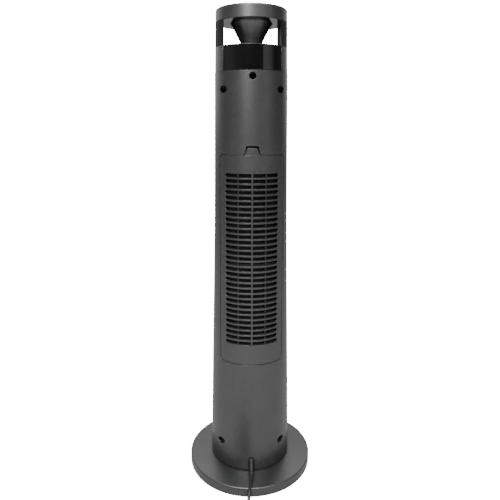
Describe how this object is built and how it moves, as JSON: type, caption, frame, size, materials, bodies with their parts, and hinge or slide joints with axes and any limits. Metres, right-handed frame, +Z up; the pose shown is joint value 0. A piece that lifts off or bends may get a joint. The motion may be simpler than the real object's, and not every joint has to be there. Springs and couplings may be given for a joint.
{
  "type": "tower fan",
  "caption": "Tapered tower fan on a round base, with a slotted vent door at the rear, a cross-flow blower inside and an open head with a cone under its cap.",
  "frame": {"origin": "centre of the base on the floor", "axes": "+Z up along the column; -Y is the front, where the air leaves; +Y is the rear, with the vent door and the cord; +X is to the right when the fan is seen from the front"},
  "size_m": [0.252, 0.3853, 0.914],
  "materials": {
    "casing_grey": "satin",
    "black_plastic": "matte",
    "black_gloss": "gloss",
    "cast_ballast": "rough",
    "black_rubber": "matte",
    "cord_vinyl": "satin",
    "brass_pins": "satin",
    "tie_plastic": "matte",
    "zinc_steel": "satin",
    "black_steel": "satin",
    "motor_shell": "satin",
    "white_nylon": "satin",
    "bronze": "satin",
    "wheel_plastic": "satin",
    "filter_net": "woven",
    "circuit_board": "satin",
    "button_grey": "satin"
  },
  "bodies": {
    "base": {"base_cover": "casing_grey", "base_plate": "black_plastic", "ballast_ring": "cast_ballast", "rubber_feet": "black_rubber", "base_screws": "zinc_steel", "swivel_post": "black_plastic", "post_screws": "zinc_steel", "swivel_gear": "white_nylon", "retaining_ring": "zinc_steel", "glide_ring": "white_nylon", "cord_lead": "cord_vinyl", "cord_coil": "cord_vinyl", "cord_tail": "cord_vinyl", "cord_tie": "tie_plastic", "plug_body": "cord_vinyl", "plug_pins": "brass_pins"},
    "tower": {"turntable": "black_plastic", "turntable_screws": "zinc_steel", "front_casing": "casing_grey", "rear_casing": "casing_grey", "front_grille": "black_plastic", "casing_screws": "black_steel", "blower_floor": "black_plastic", "blower_ceiling": "black_plastic", "scroll_wall": "black_plastic", "vortex_wall": "black_plastic", "fan_motor": "motor_shell", "motor_screws": "zinc_steel", "bearing_bush": "bronze", "swing_motor": "motor_shell", "swing_bracket": "zinc_steel", "main_board": "circuit_board", "wiring_loom": "cord_vinyl", "strain_relief": "cord_vinyl", "head_shell": "casing_grey", "band_rear": "black_gloss", "band_front": "black_gloss", "deck": "black_plastic", "pillar_left": "black_plastic", "pillar_right": "black_plastic", "cone": "casing_grey", "underside_plate": "black_gloss", "top_cap": "casing_grey", "control_panel": "black_gloss", "button_board": "circuit_board", "display_board": "circuit_board"},
    "door": {"vent_door": "casing_grey", "filter_frame": "black_plastic", "filter_mesh": "filter_net"},
    "latch": {"door_latch": "casing_grey"},
    "wheel": {"blower_wheel": "wheel_plastic", "wheel_shaft": "zinc_steel"},
    "pinion": {"swing_pinion": "white_nylon"},
    "button_1": {"button_1": "button_grey"},
    "button_2": {"button_2": "button_grey"},
    "button_3": {"button_3": "button_grey"},
    "button_4": {"button_4": "button_grey"},
    "button_5": {"button_5": "button_grey"}
  },
  "joints": [
    {"name": "tower_swivel", "type": "hinge", "parent": "base", "child": "tower", "pos_m": [0, 0, 0.0234], "axis": [0, 0, 1], "range_deg": [-40, 40], "deforming": ["cord_lead"]},
    {"name": "wheel_spin", "type": "hinge", "parent": "tower", "child": "wheel", "pos_m": [0, 0, 0.45], "axis": [0, 0, 1], "continuous": true},
    {"name": "pinion_spin", "type": "hinge", "parent": "tower", "child": "pinion", "pos_m": [0, -0.035, 0.03], "axis": [0, 0, 1], "range_deg": [-105, 105]},
    {"name": "door_tilt", "type": "hinge", "parent": "tower", "child": "door", "pos_m": [0, 0.07722, 0.248], "axis": [-1, 0, 0], "range_deg": [0, 25]},
    {"name": "latch_slide", "type": "slide", "parent": "door", "child": "latch", "axis": [0, 0, -1], "range_m": [0, 0.0025], "stiffness_N_per_m": 200, "springref_m": -0.001},
    {"name": "button_1_press", "type": "slide", "parent": "tower", "child": "button_1", "axis": [0, 0, -1], "range_m": [0, 0.001], "stiffness_N_per_m": 200, "springref_m": -0.0005},
    {"name": "button_2_press", "type": "slide", "parent": "tower", "child": "button_2", "axis": [0, 0, -1], "range_m": [0, 0.001], "stiffness_N_per_m": 200, "springref_m": -0.0005},
    {"name": "button_3_press", "type": "slide", "parent": "tower", "child": "button_3", "axis": [0, 0, -1], "range_m": [0, 0.001], "stiffness_N_per_m": 200, "springref_m": -0.0005},
    {"name": "button_4_press", "type": "slide", "parent": "tower", "child": "button_4", "axis": [0, 0, -1], "range_m": [0, 0.001], "stiffness_N_per_m": 200, "springref_m": -0.0005},
    {"name": "button_5_press", "type": "slide", "parent": "tower", "child": "button_5", "axis": [0, 0, -1], "range_m": [0, 0.001], "stiffness_N_per_m": 200, "springref_m": -0.0005}
  ],
  "couplings": [
    {"joint": "pinion_spin", "follows": "tower_swivel", "ratio": 2.5}
  ]
}
